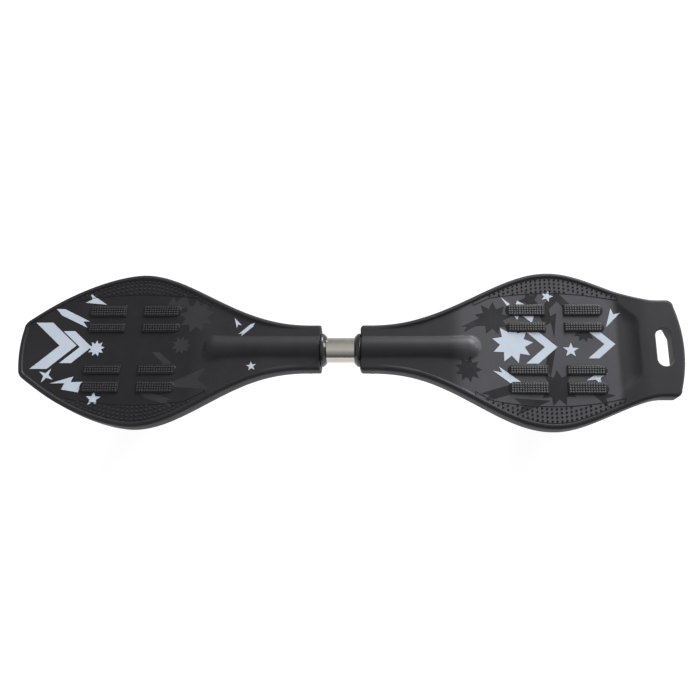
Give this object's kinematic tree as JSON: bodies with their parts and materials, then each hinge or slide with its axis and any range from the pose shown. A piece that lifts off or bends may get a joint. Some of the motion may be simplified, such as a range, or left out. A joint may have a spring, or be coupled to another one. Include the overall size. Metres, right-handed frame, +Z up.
{
  "type": "caster board",
  "caption": "Two-deck caster board: moulded decks joined by a sprung steel tube, each on an inclined swivelling wheel, with ribbed foot pads and a hand slot in the tail.",
  "frame": {"origin": "bottom centre of the bounding box, on the floor between the two wheels", "axes": "+X along the tube towards the tail with the hand slot, +Y across the decks, +Z up"},
  "size_m": [0.844, 0.208, 0.1215],
  "materials": {
    "deck_plastic": "satin",
    "cover_plastic": "matt",
    "bush_nylon": "gloss",
    "polished_steel": "polished",
    "spring_steel": "oiled",
    "zinc_steel": "zinc plated",
    "bearing_steel": "ground",
    "fork_alloy": "satin",
    "wheel_urethane": "satin",
    "wheel_core": "satin"
  },
  "bodies": {
    "front_half": {"front_deck": "deck_plastic", "front_neck_cover": "cover_plastic", "front_bush": "bush_nylon", "front_anchor_bolt": "zinc_steel", "front_caster_plate": "zinc_steel", "front_kingpin": "zinc_steel", "front_kingpin_nut": "zinc_steel", "front_upper_race": "bearing_steel", "front_neck_screw_1": "zinc_steel", "front_neck_screw_2": "zinc_steel", "front_neck_screw_3": "zinc_steel", "front_neck_screw_4": "zinc_steel", "front_plate_screw_1": "zinc_steel", "front_plate_screw_2": "zinc_steel", "front_plate_screw_3": "zinc_steel", "front_plate_screw_4": "zinc_steel", "torsion_tube": "polished_steel", "front_bar_plug": "fork_alloy", "torsion_bar": "spring_steel"},
    "rear_half": {"rear_deck": "deck_plastic", "rear_neck_cover": "cover_plastic", "rear_bush": "bush_nylon", "rear_anchor_bolt": "zinc_steel", "rear_caster_plate": "zinc_steel", "rear_kingpin": "zinc_steel", "rear_kingpin_nut": "zinc_steel", "rear_upper_race": "bearing_steel", "rear_neck_screw_1": "zinc_steel", "rear_neck_screw_2": "zinc_steel", "rear_neck_screw_3": "zinc_steel", "rear_neck_screw_4": "zinc_steel", "rear_plate_screw_1": "zinc_steel", "rear_plate_screw_2": "zinc_steel", "rear_plate_screw_3": "zinc_steel", "rear_plate_screw_4": "zinc_steel", "rear_bar_anchor": "fork_alloy"},
    "front_caster": {"front_fork": "fork_alloy", "front_ball_ring": "bearing_steel", "front_axle": "zinc_steel", "front_axle_nut": "zinc_steel", "front_washer_left": "zinc_steel", "front_washer_right": "zinc_steel", "front_bearing_spacer": "fork_alloy"},
    "rear_caster": {"rear_fork": "fork_alloy", "rear_ball_ring": "bearing_steel", "rear_axle": "zinc_steel", "rear_axle_nut": "zinc_steel", "rear_washer_left": "zinc_steel", "rear_washer_right": "zinc_steel", "rear_bearing_spacer": "fork_alloy"},
    "front_wheel": {"front_tyre": "wheel_urethane", "front_hub": "wheel_core", "front_bearing_left": "bearing_steel", "front_bearing_right": "bearing_steel"},
    "rear_wheel": {"rear_tyre": "wheel_urethane", "rear_hub": "wheel_core", "rear_bearing_left": "bearing_steel", "rear_bearing_right": "bearing_steel"}
  },
  "joints": [
    {"name": "deck_twist", "type": "hinge", "parent": "front_half", "child": "rear_half", "pos_m": [-0.004, 0, 0.10003], "axis": [1, 0, 0], "range_deg": [-35, 35], "stiffness_Nm_per_rad": 20},
    {"name": "front_swivel", "type": "hinge", "parent": "front_half", "child": "front_caster", "pos_m": [-0.289, 0, 0.07603], "axis": [-0.5, 0, 0.866], "continuous": true},
    {"name": "front_wheel_spin", "type": "hinge", "parent": "front_caster", "child": "front_wheel", "pos_m": [-0.25088, 0, 0.038], "axis": [0, 1, 0], "continuous": true},
    {"name": "rear_swivel", "type": "hinge", "parent": "rear_half", "child": "rear_caster", "pos_m": [0.241, 0, 0.07603], "axis": [-0.5, 0, 0.866], "continuous": true},
    {"name": "rear_wheel_spin", "type": "hinge", "parent": "rear_caster", "child": "rear_wheel", "pos_m": [0.27912, 0, 0.038], "axis": [0, 1, 0], "continuous": true}
  ]
}
